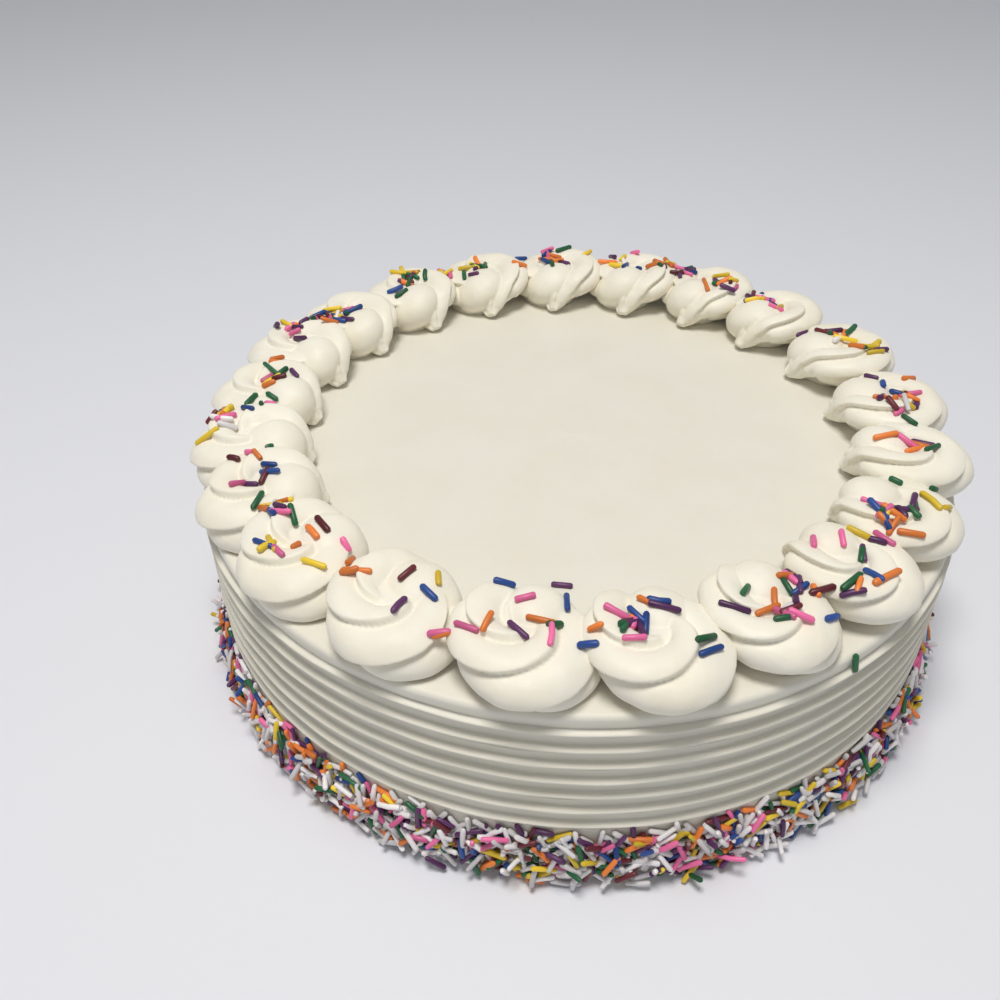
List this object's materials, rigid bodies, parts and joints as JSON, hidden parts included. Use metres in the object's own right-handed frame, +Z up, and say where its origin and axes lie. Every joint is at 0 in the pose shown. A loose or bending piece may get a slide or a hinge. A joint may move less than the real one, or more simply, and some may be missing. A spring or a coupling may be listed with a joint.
{
  "type": "vanilla cake",
  "caption": "Round vanilla cake with a combed cream icing side, a ring of piped swirls on top and rainbow sprinkles.",
  "frame": {"origin": "centre of the flat underside of the cake", "axes": "+Z up, out of the cake's top; the cake is round about Z, and -Y faces the picture's viewer"},
  "size_m": [0.2523, 0.2519, 0.0849],
  "materials": {
    "icing": "satin cream buttercream, smoothed and combed",
    "swirl_icing": "satin piped cream",
    "sprinkles_white": "waxy sugar",
    "sprinkles_pink": "waxy sugar",
    "sprinkles_yellow": "waxy sugar",
    "sprinkles_orange": "waxy sugar",
    "sprinkles_green": "waxy sugar",
    "sprinkles_blue": "waxy sugar",
    "sprinkles_purple": "waxy sugar",
    "sprinkles_maroon": "waxy sugar"
  },
  "bodies": {
    "root": {"cake": "icing", "swirl_01": "swirl_icing", "swirl_02": "swirl_icing", "swirl_03": "swirl_icing", "swirl_04": "swirl_icing", "swirl_05": "swirl_icing", "swirl_06": "swirl_icing", "swirl_07": "swirl_icing", "swirl_08": "swirl_icing", "swirl_09": "swirl_icing", "swirl_10": "swirl_icing", "swirl_11": "swirl_icing", "swirl_12": "swirl_icing", "swirl_13": "swirl_icing", "swirl_14": "swirl_icing", "swirl_15": "swirl_icing", "swirl_16": "swirl_icing", "swirl_17": "swirl_icing", "swirl_18": "swirl_icing", "swirl_19": "swirl_icing", "swirl_20": "swirl_icing", "swirl_21": "swirl_icing"}
  },
  "joints": []
}
